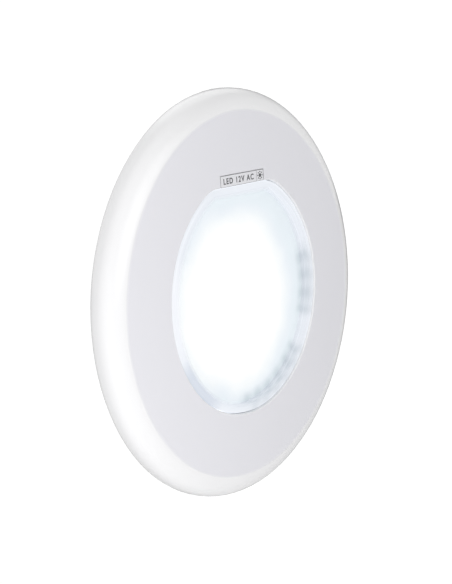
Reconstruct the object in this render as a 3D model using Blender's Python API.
"""Flat wall-mounted underwater pool light: wall bracket, sealed lamp and snap-on trim ring.

Frame: metres, +Z up. The pool wall is the plane y = 0 and the lamp faces -Y.
Heights (h) in the sections below are distances out from the wall, so y = -h.
"""
import math

import bmesh
import bpy
from mathutils import Vector

MM = 0.001

# Face and trim ring.
FACE_RADIUS = 135.0        # widest radius of the trim ring
RIM_HEIGHT = 30.5          # height of the widest plane above the wall
FACE_HEIGHT = 44.3         # height of the flat face above the wall
BEVEL_WIDTH = 15.2         # radial width of the rounded rim
RIM_SPREAD = 30.9          # half width of the superellipse that the rim follows
RIM_RISE = 14.8            # its half height
RIM_POWER = 2.64           # its exponent
RIM_TILTS = (16.0, 22.0, 29.0, 37.0, 45.0, 54.0, 63.0, 72.0, 81.0)
SHELL = 3.0                # wall thickness of the trim ring
OPENING_RADIUS = 79.4      # lamp opening in the trim ring
OPENING_CHORD = 72.6       # flat top edge of the opening
CORNER = 3.0               # rounding where the flat edge meets the circle
BADGE_WIDTH = 47.0
BADGE_TOP = 80.2
BADGE_DEPTH = 1.3
PEG_RADIUS = 3.0
PEG_CIRCLE = 105.0
PEG_ANGLES = (45.0, 135.0, 225.0, 315.0)
WEB_COUNT = 12

# Lens and its seal.
LENS_RADIUS = 78.6
LENS_CHORD = 72.2
LENS_EDGE = 44.0           # height where the rounded lens edge meets its face
LENS_FLANGE = 86.2
SEAT_HEIGHT = 28.0
CLAMP_CIRCLE = 91.0
CLAMP_COUNT = 8

# Rear housing.
HOUSING_BACK = 9.0
HOUSING_RADIUS = 83.0
FLANGE_RADIUS = 98.0
WELL_RADIUS = 23.0
WELL_FLOOR = 22.5
EAR_RADIUS = 8.0
STANDOFF_CIRCLE = 44.0
POST_CIRCLE = 62.5
INNER_ANGLES = (90.0, 210.0, 330.0)

# Wall bracket and its quarter-turn hooks.
BRACKET_RADIUS = 90.0
BRACKET_PLATE = 4.0
PASSAGE_RADIUS = 24.0
HOOK_ANGLES = (30.0, 150.0, 270.0)
HOOK_SPAN = 24.0
SLOT_CIRCLE = 52.0
SLOT_ANGLES = (0.0, 90.0, 180.0, 270.0)

# Locking screw, at twelve o'clock under the trim ring.
LOCK_CIRCLE = 105.0
LOCK_EAR_TOP = 29.0

# Light source.
BOARD_RADIUS = 58.0
DIFFUSER_RADIUS = 73.6
RIB_COUNT = 36
LED_RINGS = ((18.0, 4, 45.0), (42.0, 8, 22.5))

SMALL = 12                 # sides of screws and pegs
MEDIUM = 48                # sides of hidden rings
LARGE = 96                 # sides of the rings that show


def clear_objects():
    for old in list(bpy.data.objects):
        bpy.data.objects.remove(old)


def make_material(name, colour, roughness, metallic=0.0, emission=0.0, clear=0.0):
    material = bpy.data.materials.new(name)
    material.use_nodes = True
    shader = material.node_tree.nodes["Principled BSDF"]
    shader.inputs["Base Color"].default_value = (*colour, 1.0)
    shader.inputs["Roughness"].default_value = roughness
    shader.inputs["Metallic"].default_value = metallic
    shader.inputs["Transmission Weight"].default_value = clear
    if emission:
        shader.inputs["Emission Color"].default_value = (*colour, 1.0)
        shader.inputs["Emission Strength"].default_value = emission
    material.diffuse_color = (*colour, 1.0)
    return material


def point(radius, angle, height):
    """Point at a radius and angle (degrees, from +X towards +Z), in metres."""
    turn = math.radians(angle)
    return Vector((radius * math.cos(turn), -height, radius * math.sin(turn))) * MM


def soft_min(first, second, blend):
    """Smaller of two lengths, with a rounded change-over."""
    gap = max(blend - abs(first - second), 0.0) / blend
    return min(first, second) - gap * gap * blend * 0.25


def d_radius(radius, chord, angle):
    """Radius of a circle whose top is cut by a flat edge at z = chord."""
    rise = math.sin(math.radians(angle))
    if chord is None or rise < 0.3:
        return radius
    return soft_min(radius, chord / rise, CORNER)


def even_angles(count):
    return [360.0 * step / count for step in range(count)]


def d_angles(count):
    """Even angles, with extra ones where the flat edge meets the circle."""
    corner = math.degrees(math.asin(OPENING_CHORD / OPENING_RADIUS))
    angles = set(even_angles(count))
    for middle in (corner, 180.0 - corner):
        for step in range(-4, 5):
            angles.add(round(middle + step * 1.25, 4))
    kept = []
    for angle in sorted(angles):
        if not kept or angle - kept[-1] > 0.4:
            kept.append(angle)
    return kept


def finish_mesh(name, work, material, smooth=True):
    bmesh.ops.recalc_face_normals(work, faces=work.faces)
    mesh = bpy.data.meshes.new(name)
    work.to_mesh(mesh)
    work.free()
    obj = bpy.data.objects.new(name, mesh)
    bpy.context.scene.collection.objects.link(obj)
    if material:
        mesh.materials.append(material)
    if smooth:
        mesh.shade_smooth()
        mesh.set_sharp_from_angle(angle=math.radians(32.0))
    return obj


def add_ring(work, section, angles):
    """Turn a closed section of (radius, height, chord) about the Y axis."""
    loops = []
    for entry in section:
        radius, height = entry[0], entry[1]
        chord = entry[2] if len(entry) > 2 else None
        if radius < 0.001:
            loops.append([work.verts.new(point(0.0, 0.0, height))])
            continue
        loop = []
        for angle in angles:
            loop.append(work.verts.new(point(d_radius(radius, chord, angle), angle, height)))
        loops.append(loop)
    count = len(angles)
    for index, loop in enumerate(loops):
        after = loops[(index + 1) % len(loops)]
        for step in range(count):
            nxt = (step + 1) % count
            if len(loop) == 1 and len(after) == 1:
                break
            if len(loop) == 1:
                work.faces.new((loop[0], after[step], after[nxt]))
            elif len(after) == 1:
                work.faces.new((loop[step], loop[nxt], after[0]))
            else:
                work.faces.new((loop[step], loop[nxt], after[nxt], after[step]))


def add_cylinder(work, centre, radius, low, high, sides=SMALL):
    """Solid round bar along Y, centred on (x, z)."""
    shift = Vector((centre[0], 0.0, centre[1])) * MM
    lower = [work.verts.new(point(radius, angle, low) + shift) for angle in even_angles(sides)]
    upper = [work.verts.new(point(radius, angle, high) + shift) for angle in even_angles(sides)]
    work.faces.new(lower)
    work.faces.new(upper)
    for step in range(sides):
        nxt = (step + 1) % sides
        work.faces.new((lower[step], lower[nxt], upper[nxt], upper[step]))


def add_box(work, low, high):
    """Box between two (x, z, height) corners."""
    corners = []
    for x in (low[0], high[0]):
        for z in (low[1], high[1]):
            for height in (low[2], high[2]):
                corners.append(work.verts.new(Vector((x, -height, z)) * MM))
    for face in ((0, 1, 3, 2), (4, 6, 7, 5), (0, 4, 5, 1), (2, 3, 7, 6), (0, 2, 6, 4), (1, 5, 7, 3)):
        work.faces.new([corners[index] for index in face])


def add_arc(work, section, start, end, steps):
    """Sweep a closed (radius, height) section from one angle to another."""
    loops = []
    for step in range(steps + 1):
        angle = start + (end - start) * step / steps
        loops.append([work.verts.new(point(radius, angle, height)) for radius, height in section])
    work.faces.new(loops[0])
    work.faces.new(loops[-1])
    for loop, after in zip(loops, loops[1:]):
        for index in range(len(section)):
            nxt = (index + 1) % len(section)
            work.faces.new((loop[index], loop[nxt], after[nxt], after[index]))


def add_radial_plate(work, outline, angle, thickness):
    """Flat plate standing on a radius, cut to a closed (radius, height) outline."""
    turn = math.radians(angle)
    side = Vector((-math.sin(turn), 0.0, math.cos(turn))) * (thickness * 0.5 * MM)
    near = [work.verts.new(point(radius, angle, height) - side) for radius, height in outline]
    far = [work.verts.new(point(radius, angle, height) + side) for radius, height in outline]
    work.faces.new(near)
    work.faces.new(far)
    for index in range(len(outline)):
        nxt = (index + 1) % len(outline)
        work.faces.new((near[index], near[nxt], far[nxt], far[index]))


def on_circle(radius, angle):
    turn = math.radians(angle)
    return (radius * math.cos(turn), radius * math.sin(turn))


def turned(name, section, material, angles=None, centre=(0.0, 0.0)):
    """Turned piece whose own axis passes through (x, z)."""
    work = bmesh.new()
    add_ring(work, section, angles or even_angles(MEDIUM))
    obj = finish_mesh(name, work, material)
    obj.location = (centre[0] * MM, 0.0, centre[1] * MM)
    return obj


def tool(name, work):
    """Hidden helper body for a Boolean."""
    helper = finish_mesh(name, work, None, smooth=False)
    helper.hide_render = True
    helper.hide_viewport = False
    helper.display_type = "WIRE"
    return helper


def combine(obj, helper, operation, own_overlaps=False):
    change = obj.modifiers.new(helper.name, "BOOLEAN")
    change.operation = operation
    change.solver = "EXACT"
    change.use_self = own_overlaps
    change.object = helper


def ellipse(middle, flat, width, height, steps):
    """Quarter ellipse from the flat face out to the widest plane."""
    points = []
    for step in range(steps + 1):
        turn = math.radians(90.0 * (1.0 - step / steps))
        points.append((middle + width * math.cos(turn), flat + height * math.sin(turn)))
    return points


def rim_curve():
    """Rounded rim from the crease at the flat face out to the widest plane, by the tilt of its surface."""
    points = [(FACE_RADIUS - BEVEL_WIDTH, FACE_HEIGHT)]
    for tilt in RIM_TILTS:
        slope = math.tan(math.radians(tilt)) * RIM_SPREAD / RIM_RISE
        ratio = slope ** (1.0 / (RIM_POWER - 1.0))
        rise = RIM_RISE * (1.0 + ratio ** RIM_POWER) ** (-1.0 / RIM_POWER)
        spread = rise * ratio * RIM_SPREAD / RIM_RISE
        points.append((FACE_RADIUS - RIM_SPREAD + spread, RIM_HEIGHT + rise))
    points.append((FACE_RADIUS, RIM_HEIGHT))
    return points


def screw(name, centre, tip, seat, head_radius, head_height, shank, material, recess=0.45):
    """Pan-head screw along Y with a tapered drive recess in its head."""
    top = seat + head_height
    hole = head_radius * recess
    section = [
        (0.0, tip),
        (shank, tip),
        (shank, seat),
        (head_radius, seat),
        (head_radius, top - 0.8),
        (head_radius - 0.8, top),
        (hole, top),
        (0.0, top - head_height * 0.6),
    ]
    return turned(name, section, material, even_angles(SMALL), centre)


def build_bracket(material):
    plate = turned("wall_bracket", [
        (PASSAGE_RADIUS, 0.0),
        (BRACKET_RADIUS, 0.0),
        (BRACKET_RADIUS, BRACKET_PLATE - 0.8),
        (BRACKET_RADIUS - 0.8, BRACKET_PLATE),
        (PASSAGE_RADIUS + 3.0, BRACKET_PLATE),
        (PASSAGE_RADIUS + 3.0, 7.0),
        (PASSAGE_RADIUS, 7.0),
    ], material)
    work = bmesh.new()
    hook = [(84.5, 13.0), (84.5, 16.0), (89.5, 16.0), (89.5, 3.5), (87.0, 3.5), (87.0, 13.0)]
    stop = [(84.7, 3.4), (84.7, 13.6), (87.6, 13.6), (87.6, 3.4)]
    for angle in HOOK_ANGLES:
        add_arc(work, hook, angle - HOOK_SPAN / 2, angle + HOOK_SPAN / 2, 5)
        add_arc(work, stop, angle - HOOK_SPAN / 2 + 0.2, angle - HOOK_SPAN / 2 + 2.2, 1)
    add_box(work, (-7.0, 84.0, 0.4), (7.0, LOCK_CIRCLE, 3.6))
    add_cylinder(work, (0.0, LOCK_CIRCLE), 7.5, 0.0, BRACKET_PLATE, 24)
    add_cylinder(work, (0.0, LOCK_CIRCLE), 5.0, 3.5, 14.0, 24)
    combine(plate, tool("bracket_hooks", work), "UNION", own_overlaps=True)
    cut = bmesh.new()
    for angle in SLOT_ANGLES:
        for reach in (-3.0, 3.0):
            add_cylinder(cut, on_circle(SLOT_CIRCLE + reach, angle), 2.7, -2.0, 9.0)
        x, z = on_circle(SLOT_CIRCLE, angle)
        half = (3.0, 2.65) if abs(x) > abs(z) else (2.65, 3.0)
        add_box(cut, (x - half[0], z - half[1], -2.5), (x + half[0], z + half[1], 9.5))
    cutter = tool("bracket_slots", cut)
    combine(plate, cutter, "DIFFERENCE", own_overlaps=True)
    return plate


def build_housing(material):
    housing = turned("rear_housing", [
        (10.4, WELL_FLOOR),
        (WELL_RADIUS - 1.0, WELL_FLOOR),
        (WELL_RADIUS, HOUSING_BACK),
        (HOUSING_RADIUS - 1.0, HOUSING_BACK),
        (HOUSING_RADIUS, HOUSING_BACK + 1.0),
        (HOUSING_RADIUS, 24.0),
        (FLANGE_RADIUS - 1.0, 24.0),
        (FLANGE_RADIUS, 25.0),
        (FLANGE_RADIUS, 33.0),
        (FLANGE_RADIUS - 0.7, 33.7),
        (87.0, 33.7),
        (87.0, SEAT_HEIGHT),
        (80.0, SEAT_HEIGHT),
        (80.0, HOUSING_BACK + 2.5),
        (WELL_RADIUS + 3.0, HOUSING_BACK + 2.5),
        (WELL_RADIUS + 2.2, WELL_FLOOR + 2.8),
        (10.4, WELL_FLOOR + 2.8),
    ], material)
    work = bmesh.new()
    for angle in HOOK_ANGLES:
        lug = [(82.4, 9.6), (86.6, 9.6), (86.6, 12.6), (82.4, 12.6)]
        add_arc(work, lug, angle - 9.0, angle + 11.0, 4)
    for angle in PEG_ANGLES:
        add_cylinder(work, on_circle(PEG_CIRCLE, angle), EAR_RADIUS, 25.0, 33.0, 16)
    add_cylinder(work, (0.0, LOCK_CIRCLE), EAR_RADIUS, 24.4, LOCK_EAR_TOP, 16)
    for angle in INNER_ANGLES:
        add_cylinder(work, on_circle(STANDOFF_CIRCLE, angle), 3.6, 11.0, 14.7, 12)
        add_cylinder(work, on_circle(POST_CIRCLE, angle + 60.0), 3.6, 11.1, 30.4, 12)
    combine(housing, tool("housing_bosses", work), "UNION")
    cut = bmesh.new()
    for angle in PEG_ANGLES:
        add_cylinder(cut, on_circle(PEG_CIRCLE, angle), 5.1, 20.0, 36.0)
    add_cylinder(cut, (0.0, LOCK_CIRCLE), 4.0, 20.0, 36.0)
    for angle in clamp_angles():
        add_cylinder(cut, on_circle(CLAMP_CIRCLE, angle), 2.3, 25.6, 36.0, 12)
    for angle in INNER_ANGLES:
        add_cylinder(cut, on_circle(STANDOFF_CIRCLE, angle), 1.8, 12.2, 20.0, 12)
        add_cylinder(cut, on_circle(POST_CIRCLE, angle + 60.0), 1.8, 22.0, 36.0, 12)
    combine(housing, tool("housing_holes", cut), "DIFFERENCE")
    return housing


def clamp_angles():
    return [360.0 * (step + 0.5) / CLAMP_COUNT for step in range(CLAMP_COUNT)]


def build_trim(material):
    flat_radius = FACE_RADIUS - BEVEL_WIDTH
    rim = FACE_HEIGHT - RIM_HEIGHT
    under = FACE_HEIGHT - SHELL
    inner_width = BEVEL_WIDTH - SHELL + 0.8
    section = [
        (OPENING_RADIUS, under, OPENING_CHORD),
        (OPENING_RADIUS, FACE_HEIGHT - 0.9, OPENING_CHORD),
        (OPENING_RADIUS + 0.25, FACE_HEIGHT - 0.3, OPENING_CHORD + 0.25),
        (OPENING_RADIUS + 0.9, FACE_HEIGHT, OPENING_CHORD + 0.9),
    ]
    section += rim_curve()
    section += [(FACE_RADIUS - 0.5, 28.6), (FACE_RADIUS - 1.5, 27.4), (FACE_RADIUS - 3.2, 27.4)]
    inner = ellipse(flat_radius - 1.0, RIM_HEIGHT, inner_width, rim - SHELL, 3)
    section += list(reversed(inner))
    trim = turned("trim_ring", section, material, d_angles(LARGE))
    work = bmesh.new()
    for step in range(WEB_COUNT):
        web = ellipse(flat_radius - 1.0, RIM_HEIGHT, inner_width + 0.6, rim - SHELL + 0.6, 3)
        web += [(flat_radius + inner_width - 1.4, 28.4), (128.5, 28.4), (115.0, 37.0), (115.0, under + 0.6)]
        add_radial_plate(work, web, 15.0 + 360.0 * step / WEB_COUNT, 2.0)
    for angle in PEG_ANGLES:
        centre = on_circle(PEG_CIRCLE, angle)
        add_cylinder(work, centre, PEG_RADIUS, 27.0, under + 0.7)
    combine(trim, tool("trim_webs_and_pegs", work), "UNION")
    cut = bmesh.new()
    half = BADGE_WIDTH / 2 + 0.3
    add_box(cut, (-half, 68.0, FACE_HEIGHT - BADGE_DEPTH - 0.3), (half, BADGE_TOP + 0.3, 48.0))
    combine(trim, tool("badge_recess", cut), "DIFFERENCE")
    return trim


def build_badge(material):
    work = bmesh.new()
    half = BADGE_WIDTH / 2
    add_box(work, (-half, OPENING_CHORD + 0.1, FACE_HEIGHT - BADGE_DEPTH), (half, BADGE_TOP, FACE_HEIGHT))
    bmesh.ops.bevel(work, geom=list(work.edges), offset=0.0002, segments=1, affect="EDGES")
    return finish_mesh("badge_plate", work, material, smooth=False)


def build_lens(material):
    section = [
        (75.0, SEAT_HEIGHT + 3.0),
        (LENS_FLANGE, SEAT_HEIGHT + 3.0),
        (LENS_FLANGE, 33.7),
        (LENS_RADIUS, 33.7),
        (LENS_RADIUS, 40.4),
        (LENS_RADIUS, 40.5, LENS_CHORD),
        (LENS_RADIUS, 42.4, LENS_CHORD),
        (LENS_RADIUS - 0.3, 43.2, LENS_CHORD - 0.3),
        (LENS_RADIUS - 1.0, 43.8, LENS_CHORD - 1.0),
        (LENS_RADIUS - 2.2, LENS_EDGE + 0.1, LENS_CHORD - 2.2),
        (60.0, LENS_EDGE + 0.6),
        (36.0, LENS_EDGE + 1.2),
        (0.0, LENS_EDGE + 1.5),
        (0.0, 42.2),
        (60.0, 41.2),
        (72.0, 40.4, 66.0),
        (74.6, 39.4, 68.4),
        (75.0, 37.2),
    ]
    return turned("lens", section, material, d_angles(LARGE))


def build_clamp_ring(material):
    ring = turned("lens_clamp_ring", [(80.2, 34.0), (96.8, 34.0), (96.8, 37.0), (80.2, 37.0)], material)
    cut = bmesh.new()
    for angle in clamp_angles():
        add_cylinder(cut, on_circle(CLAMP_CIRCLE, angle), 2.3, 30.0, 40.0, 12)
    combine(ring, tool("clamp_ring_holes", cut), "DIFFERENCE")
    return ring


def build_ribbed_ring(material):
    ring = turned("ribbed_reflector_ring", [
        (65.2, 33.0),
        (74.3, 33.0),
        (74.3, 36.2),
        (73.2, 36.2),
        (73.2, 34.4),
        (65.2, 34.4),
    ], material)
    work = bmesh.new()
    rib = [(66.0, 34.0), (66.0, 36.0), (73.8, 36.0), (73.8, 34.0)]
    for step in range(RIB_COUNT):
        add_radial_plate(work, rib, 360.0 * step / RIB_COUNT, 2.4)
    combine(ring, tool("reflector_ribs", work), "UNION")
    return ring


def drilled_disc(name, radius, low, high, material, holes):
    """Round plate with holes, each hole given as (x, z, radius)."""
    work = bmesh.new()
    add_cylinder(work, (0.0, 0.0), radius, low, high, MEDIUM)
    disc = finish_mesh(name, work, material)
    cut = bmesh.new()
    for x, z, size in holes:
        add_cylinder(cut, (x, z), size, low - 3.0, high + 3.0, 12)
    combine(disc, tool(name + "_holes", cut), "DIFFERENCE")
    return disc


def build_light_source(metal, board, white, opal, chip, steel):
    posts = [on_circle(POST_CIRCLE, angle + 60.0) for angle in INNER_ANGLES]
    holes = [(x, z, 1.8) for x, z in posts]
    drilled_disc("heat_spreader", 74.3, 30.7, 32.7, metal, holes)
    for index, centre in enumerate(posts, 1):
        screw("spreader_screw_%d" % index, centre, 23.0, 33.0, 2.4, 1.8, 1.4, steel)
    disc = bmesh.new()
    add_cylinder(disc, (0.0, 0.0), BOARD_RADIUS, 33.0, 34.4, MEDIUM)
    finish_mesh("led_board", disc, board)
    number = 1
    for radius, count, first in LED_RINGS:
        for step in range(count):
            x, z = on_circle(radius, first + 360.0 * step / count)
            work = bmesh.new()
            add_box(work, (-2.5, -2.5, 34.6), (2.5, 2.5, 35.5))
            led = finish_mesh("led_%02d" % number, work, chip, smooth=False)
            led.location = (x * MM, 0.0, z * MM)
            number += 1
    turned("opal_diffuser", [
        (0.0, 37.4),
        (DIFFUSER_RADIUS - 0.6, 37.4),
        (DIFFUSER_RADIUS, 36.8),
        (DIFFUSER_RADIUS, 36.5),
        (0.0, 36.5),
    ], opal)
    build_ribbed_ring(white)


def build_driver(board, black, can, steel, green):
    standoffs = [on_circle(STANDOFF_CIRCLE, angle) for angle in INNER_ANGLES]
    holes = [(x, z, 1.8) for x, z in standoffs] + [(0.0, 0.0, 29.0)]
    work = bmesh.new()
    add_ring(work, [(29.0, 15.0), (56.0, 15.0), (56.0, 16.6), (29.0, 16.6)], even_angles(MEDIUM))
    disc = finish_mesh("driver_board", work, board)
    cut = bmesh.new()
    for x, z, size in holes[:3]:
        add_cylinder(cut, (x, z), size, 12.0, 20.0, 12)
    combine(disc, tool("driver_board_holes", cut), "DIFFERENCE")
    for index, centre in enumerate(standoffs, 1):
        screw("driver_screw_%d" % index, centre, 12.6, 16.9, 2.8, 1.8, 1.4, steel)
    for index, angle in enumerate((20.0, 40.0), 1):
        turned("capacitor_%d" % index, [
            (0.0, 16.9),
            (5.0, 16.9),
            (5.0, 25.0),
            (4.4, 25.6),
            (0.0, 25.6),
        ], can, even_angles(SMALL), on_circle(43.0, angle))
    choke = bmesh.new()
    add_box(choke, (-50.0, 10.0, 16.9), (-36.0, 24.0, 27.0))
    bmesh.ops.bevel(choke, geom=list(choke.edges), offset=0.0008, segments=1, affect="EDGES")
    finish_mesh("choke", choke, black, smooth=False)
    bridge = bmesh.new()
    add_box(bridge, (-48.0, -16.0, 16.9), (-38.0, -6.0, 20.5))
    finish_mesh("bridge_rectifier", bridge, black, smooth=False)
    block = bmesh.new()
    add_box(block, (-11.0, -50.0, 16.9), (11.0, -38.0, 26.5))
    bmesh.ops.bevel(block, geom=list(block.edges), offset=0.0006, segments=1, affect="EDGES")
    finish_mesh("terminal_block", block, green, smooth=False)


def hexagon(radius, low, high):
    work = bmesh.new()
    add_cylinder(work, (0.0, 0.0), radius, low, high, 6)
    return work


def build_gland(plastic, rubber, ring):
    body = turned("cable_gland_body", [
        (5.0, 30.2),
        (5.0, 14.6),
        (9.2, 14.6),
        (9.2, 7.6),
        (11.4, 7.6),
        (11.4, 17.0),
        (10.0, 17.0),
        (10.0, 30.2),
    ], plastic, even_angles(24))
    flange = bmesh.new()
    add_ring(flange, [(7.0, 15.2), (15.6, 15.2), (15.6, 20.6), (7.0, 20.6)], even_angles(6))
    combine(body, tool("gland_hexagon", flange), "UNION")
    turned("gland_o_ring", [(10.5, 20.9), (13.6, 20.9), (13.6, 22.2), (10.5, 22.2)], rubber, even_angles(24))
    turned("gland_seal", [(4.1, 8.0), (8.8, 8.0), (8.8, 14.3), (4.1, 14.3)], rubber, even_angles(24))
    turned("gland_slip_ring", [(4.6, 6.3), (8.8, 6.3), (8.8, 7.4), (4.6, 7.4)], ring, even_angles(24))
    turned("gland_nut", [
        (6.4, 4.2),
        (13.0, 4.2),
        (15.2, 6.0),
        (15.2, 14.6),
        (11.8, 14.6),
        (11.8, 6.0),
        (6.4, 6.0),
    ], plastic, even_angles(12))
    work = hexagon(15.4, 25.6, 29.6)
    lock_nut = finish_mesh("gland_lock_nut", work, plastic, smooth=False)
    bore = bmesh.new()
    add_cylinder(bore, (0.0, 0.0), 10.4, 22.0, 33.0, 24)
    combine(lock_nut, tool("gland_lock_nut_bore", bore), "DIFFERENCE")


def build_lock_screw(steel, brass):
    centre = (0.0, LOCK_CIRCLE)
    turned("lock_screw_insert", [
        (2.4, 24.6),
        (3.7, 24.6),
        (3.7, LOCK_EAR_TOP),
        (2.4, LOCK_EAR_TOP),
    ], brass, even_angles(SMALL), centre)
    turned("lock_screw_washer", [(2.5, 29.3), (5.6, 29.3), (5.6, 30.3), (2.5, 30.3)],
           steel, even_angles(SMALL), centre)
    screw("lock_screw", centre, 14.3, 30.6, 4.4, 3.0, 2.0, steel)


def build():
    clear_objects()
    white = make_material("gloss_white_abs", (0.84, 0.84, 0.86), 0.22)
    badge = make_material("badge_white", (0.86, 0.86, 0.88), 0.35)
    clear = make_material("clear_polycarbonate", (0.93, 0.96, 1.0), 0.18, emission=0.6, clear=0.4)
    body = make_material("housing_white_pbt", (0.74, 0.75, 0.77), 0.5)
    bracket = make_material("bracket_white_abs", (0.78, 0.78, 0.79), 0.5)
    reflector = make_material("reflector_white", (0.88, 0.9, 0.93), 0.4)
    opal = make_material("opal_acrylic", (0.95, 0.98, 1.0), 0.4, emission=4.0)
    chip = make_material("led_phosphor", (1.0, 0.98, 0.9), 0.5, emission=8.0)
    board = make_material("white_circuit_board", (0.85, 0.87, 0.87), 0.4)
    green = make_material("green_circuit_board", (0.05, 0.24, 0.12), 0.4)
    metal = make_material("heat_spreader_aluminium", (0.72, 0.73, 0.75), 0.35, metallic=1.0)
    can = make_material("capacitor_aluminium", (0.6, 0.61, 0.63), 0.3, metallic=1.0)
    steel = make_material("stainless_steel", (0.66, 0.66, 0.67), 0.28, metallic=1.0)
    brass = make_material("insert_brass", (0.72, 0.55, 0.26), 0.3, metallic=1.0)
    rubber = make_material("seal_silicone", (0.3, 0.31, 0.33), 0.7)
    gland = make_material("gland_nylon", (0.09, 0.09, 0.1), 0.45)
    black = make_material("moulded_black", (0.04, 0.04, 0.045), 0.45)
    block = make_material("terminal_green", (0.08, 0.32, 0.16), 0.45)
    slip = make_material("slip_ring_acetal", (0.8, 0.8, 0.78), 0.4)

    build_bracket(bracket)
    build_housing(body)
    turned("housing_gasket", [(80.8, 28.3), (86.2, 28.3), (86.2, 30.7), (80.8, 30.7)], rubber)
    build_lens(clear)
    build_clamp_ring(body)
    for index, angle in enumerate(clamp_angles(), 1):
        screw("clamp_screw_%d" % index, on_circle(CLAMP_CIRCLE, angle), 26.2, 37.3, 3.6, 2.6, 1.9, steel)
    for index, angle in enumerate(PEG_ANGLES, 1):
        turned("trim_grommet_%d" % index, [(3.3, 25.2), (4.8, 25.2), (4.8, 34.0), (3.3, 34.0)],
               rubber, even_angles(SMALL), on_circle(PEG_CIRCLE, angle))
    build_trim(white)
    build_badge(badge)
    build_lock_screw(steel, brass)
    build_light_source(metal, board, reflector, opal, chip, steel)
    build_driver(green, black, can, steel, block)
    build_gland(gland, rubber, slip)
    group_bodies()


def empty(name, location, parent=None):
    marker = bpy.data.objects.new(name, None)
    marker.empty_display_size = 0.02
    marker.location = location
    marker.parent = parent
    bpy.context.scene.collection.objects.link(marker)
    return marker


def hang(parent, offset, names):
    """Parent pieces to an empty without moving them."""
    for name in names:
        piece = bpy.data.objects[name]
        piece.parent = parent
        piece.location = piece.location - offset


def group_bodies():
    """One empty for each moving group, on the axis that it turns about or slides along."""
    pieces = [obj.name for obj in bpy.data.objects if obj.type == "MESH" and not obj.hide_render]
    trim = ["trim_ring", "badge_plate"]
    lock = ["lock_screw", "lock_screw_washer"]
    nut = ["gland_nut", "gland_slip_ring"]
    fixed = ["wall_bracket"]
    lamp_axis = empty("lamp_turn_axis", (0.0, 0.0, 0.0))
    hang(lamp_axis, Vector(), [name for name in pieces if name not in trim + lock + nut + fixed])
    hang(empty("trim_pull_axis", (0.0, 0.0, 0.0), lamp_axis), Vector(), trim)
    lock_place = Vector((0.0, 0.0, LOCK_CIRCLE * MM))
    hang(empty("lock_screw_axis", lock_place, lamp_axis), lock_place, lock)
    hang(empty("gland_nut_axis", (0.0, 0.0, 0.0), lamp_axis), Vector(), nut)


build()
